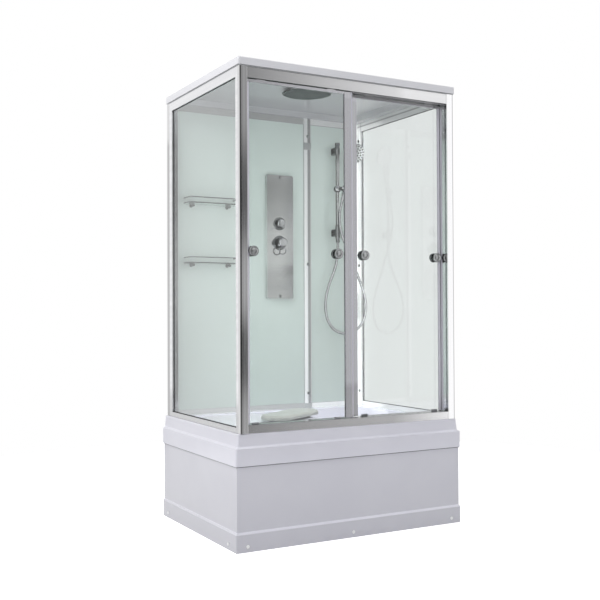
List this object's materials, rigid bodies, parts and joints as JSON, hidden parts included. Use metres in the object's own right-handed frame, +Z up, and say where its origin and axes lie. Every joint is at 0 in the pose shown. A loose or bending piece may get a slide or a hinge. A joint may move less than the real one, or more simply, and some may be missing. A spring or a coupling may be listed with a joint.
{
  "type": "shower enclosure",
  "caption": "Rectangular shower enclosure on a deep white tray, with glass walls, sliding front doors, roof with rain shower, mixer panel, shelves and hand shower.",
  "frame": {"origin": "on the floor, in the middle of the tray's outline", "axes": "+X to the right along the front, +Y to the back wall, +Z up"},
  "size_m": [1.22, 0.89, 2.15],
  "materials": {
    "white_acrylic": "gloss",
    "chrome": "polished",
    "clear_glass": "gloss",
    "white_glass": "gloss",
    "brushed_steel": "brushed",
    "galvanised_steel": "brushed",
    "grey_plastic": "satin",
    "clear_seal": "satin",
    "cream_plastic": "gloss",
    "brass": "satin",
    "chrome_hose": "polished"
  },
  "bodies": {
    "root": {"tray_basin": "white_acrylic", "waste_trap": "grey_plastic", "front_skirt": "white_acrylic", "left_skirt": "white_acrylic", "right_skirt": "white_acrylic", "skirt_screw_caps": "white_acrylic", "support_frame": "galvanised_steel", "levelling_feet": "galvanised_steel", "bath_seat": "cream_plastic", "front_left_post": "chrome", "front_right_post": "chrome", "front_top_rail": "chrome", "front_bottom_rail": "chrome", "left_side_frame": "chrome", "left_side_glass": "clear_glass", "right_side_frame": "chrome", "right_side_glass": "clear_glass", "rear_left_post": "chrome", "rear_right_post": "chrome", "rear_centre_column": "chrome", "rear_rails": "chrome", "rear_left_panel": "white_glass", "rear_right_panel": "white_glass", "wall_screws": "chrome", "roof": "white_acrylic", "rain_shower": "chrome", "rain_shower_neck": "chrome", "mixer_panel": "brushed_steel", "valve_body": "brass", "control_flanges": "chrome", "shelf_glasses": "clear_glass", "shelf_fittings": "chrome", "slide_bar": "chrome", "bar_brackets": "chrome", "shower_hose": "chrome_hose"},
    "left_door": {"left_door_glass": "clear_glass", "left_door_frame": "chrome", "left_door_seals": "clear_seal", "left_door_knobs": "chrome", "left_door_hangers": "chrome", "left_door_guides": "grey_plastic"},
    "right_door": {"right_door_glass": "clear_glass", "right_door_frame": "chrome", "right_door_seals": "clear_seal", "right_door_knobs": "chrome", "right_door_hangers": "chrome", "right_door_guides": "grey_plastic"},
    "left_door_left_roller": {"left_door_left_roller": "grey_plastic"},
    "left_door_right_roller": {"left_door_right_roller": "grey_plastic"},
    "right_door_left_roller": {"right_door_left_roller": "grey_plastic"},
    "right_door_right_roller": {"right_door_right_roller": "grey_plastic"},
    "bar_slider": {"bar_slider": "chrome"},
    "handset": {"handset_cradle": "chrome", "hand_shower": "chrome", "hand_shower_face": "grey_plastic", "hose_boot": "chrome_hose"},
    "diverter": {"diverter_knob": "chrome"},
    "mixer_stem": {"mixer_stem": "chrome"},
    "mixer_handle": {"mixer_handle": "chrome"},
    "drain_plug": {"drain_plug": "chrome"}
  },
  "joints": [
    {"name": "left_door_slide", "type": "slide", "parent": "root", "child": "left_door", "axis": [1, 0, 0], "range_m": [0, 0.48]},
    {"name": "right_door_slide", "type": "slide", "parent": "root", "child": "right_door", "axis": [1, 0, 0], "range_m": [-0.48, 0]},
    {"name": "left_door_left_roller_spin", "type": "hinge", "parent": "left_door", "child": "left_door_left_roller", "pos_m": [-0.473, -0.417, 2.0763], "axis": [0, 1, 0], "range_deg": [-5, 2900]},
    {"name": "left_door_right_roller_spin", "type": "hinge", "parent": "left_door", "child": "left_door_right_roller", "pos_m": [-0.111, -0.417, 2.0763], "axis": [0, 1, 0], "range_deg": [-5, 2900]},
    {"name": "right_door_left_roller_spin", "type": "hinge", "parent": "right_door", "child": "right_door_left_roller", "pos_m": [0.123, -0.373, 2.0763], "axis": [0, 1, 0], "range_deg": [-2900, 5]},
    {"name": "right_door_right_roller_spin", "type": "hinge", "parent": "right_door", "child": "right_door_right_roller", "pos_m": [0.473, -0.373, 2.0763], "axis": [0, 1, 0], "range_deg": [-2900, 5]},
    {"name": "slider_slide", "type": "slide", "parent": "root", "child": "bar_slider", "axis": [0, 0, 1], "range_m": [-0.17, 0.13], "deforming": ["shower_hose"]},
    {"name": "holder_tilt", "type": "hinge", "parent": "bar_slider", "child": "handset", "pos_m": [0.424, 0.323, 1.727], "axis": [1, 0, 0], "range_deg": [-15, 15], "deforming": ["hose_boot"]},
    {"name": "diverter_turn", "type": "hinge", "parent": "root", "child": "diverter", "pos_m": [0.045, 0.392, 1.52], "axis": [0, 1, 0], "range_deg": [0, 90]},
    {"name": "mixer_turn", "type": "hinge", "parent": "root", "child": "mixer_stem", "pos_m": [0.045, 0.392, 1.416], "axis": [0, 1, 0], "range_deg": [-45, 45]},
    {"name": "mixer_lift", "type": "hinge", "parent": "mixer_stem", "child": "mixer_handle", "pos_m": [0.045, 0.368, 1.416], "axis": [-1, 0, 0], "range_deg": [0, 22]},
    {"name": "drain_plug_lift", "type": "slide", "parent": "root", "child": "drain_plug", "axis": [0, 0, 1], "range_m": [0, 0.01]}
  ],
  "couplings": [
    {"joint": "left_door_left_roller_spin", "follows": "left_door_slide", "rad_per_m": 105.26},
    {"joint": "left_door_right_roller_spin", "follows": "left_door_slide", "rad_per_m": 105.26},
    {"joint": "right_door_left_roller_spin", "follows": "right_door_slide", "rad_per_m": 105.26},
    {"joint": "right_door_right_roller_spin", "follows": "right_door_slide", "rad_per_m": 105.26}
  ]
}
